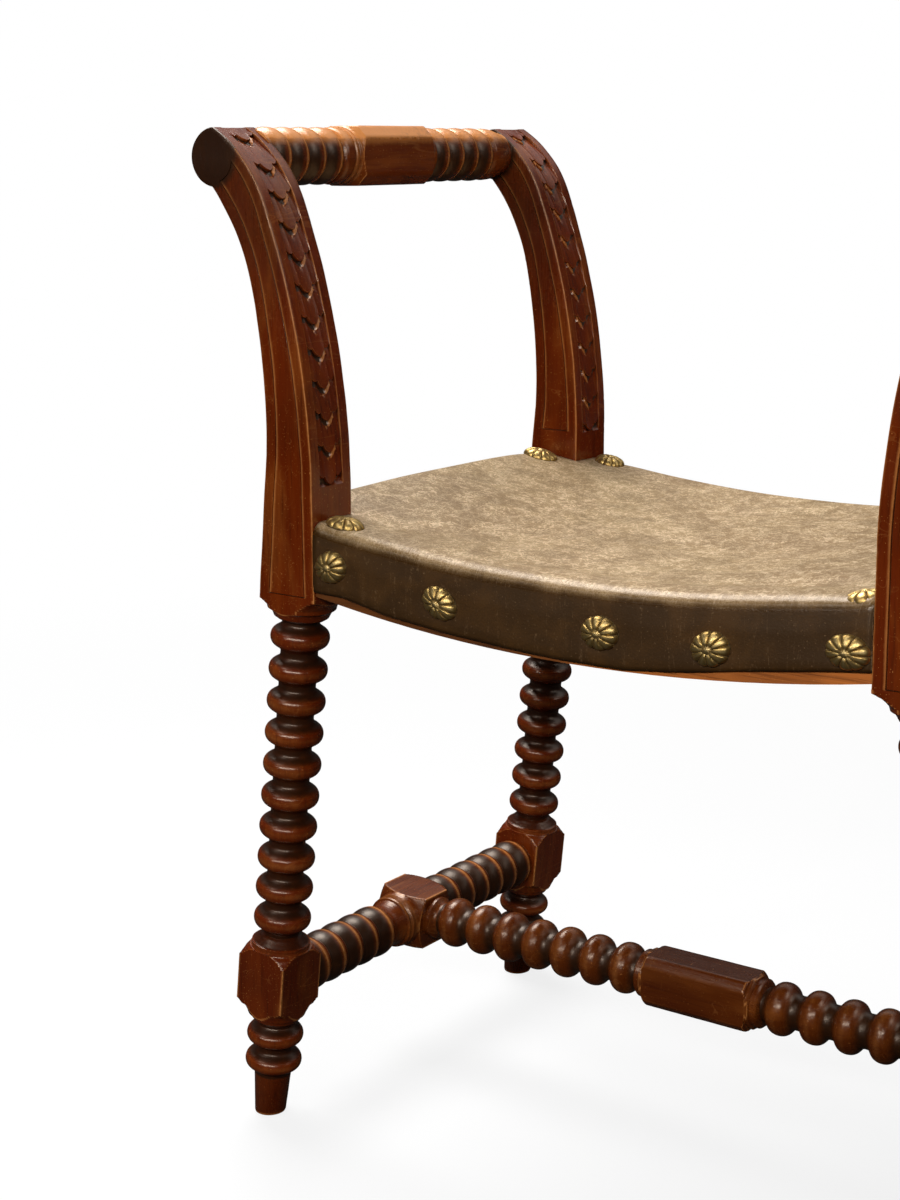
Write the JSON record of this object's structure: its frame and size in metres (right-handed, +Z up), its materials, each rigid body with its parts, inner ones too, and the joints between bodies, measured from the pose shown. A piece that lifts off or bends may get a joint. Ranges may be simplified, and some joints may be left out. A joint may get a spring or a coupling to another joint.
{
  "type": "window bench with scrolled arms",
  "caption": "Window bench with bobbin-turned splayed legs, curved scrolled arm posts joined by turned rails, a turned stretcher frame and a dipped leather seat with rosette nails.",
  "frame": {"origin": "on the floor, under the middle of the seat", "axes": "+X across the bench from one arm to the other, -Y the front that shows the carved post faces, +Z up"},
  "size_m": [0.645, 0.4038, 0.7615],
  "materials": {
    "oak": "dark stained and waxed, worn orange-brown on edges and crests",
    "rail_wood": "plain worn brown",
    "leather": "old dark brown, scratched and rubbed",
    "brass": "aged, dark in the hollows",
    "webbing": "woven jute",
    "hessian": "coarse weave",
    "stuffing": "matted hair"
  },
  "bodies": {
    "root": {"leg_post_front_left": "oak", "leg_post_front_right": "oak", "leg_post_back_left": "oak", "leg_post_back_right": "oak", "arm_rail_left": "oak", "arm_rail_right": "oak", "side_stretcher_left": "oak", "side_stretcher_right": "oak", "cross_stretcher": "oak", "seat_rail_front": "rail_wood", "seat_rail_back": "rail_wood", "seat_rail_left": "rail_wood", "seat_rail_right": "rail_wood", "corner_block_front_left": "rail_wood", "corner_block_front_right": "rail_wood", "corner_block_back_left": "rail_wood", "corner_block_back_right": "rail_wood", "webbing_cross": "webbing", "webbing_long": "webbing", "hessian": "hessian", "seat_stuffing": "stuffing", "leather_cover": "leather", "nails_front": "brass", "nails_back": "brass", "nails_left": "brass", "nails_right": "brass", "nails_top": "brass"}
  },
  "joints": []
}
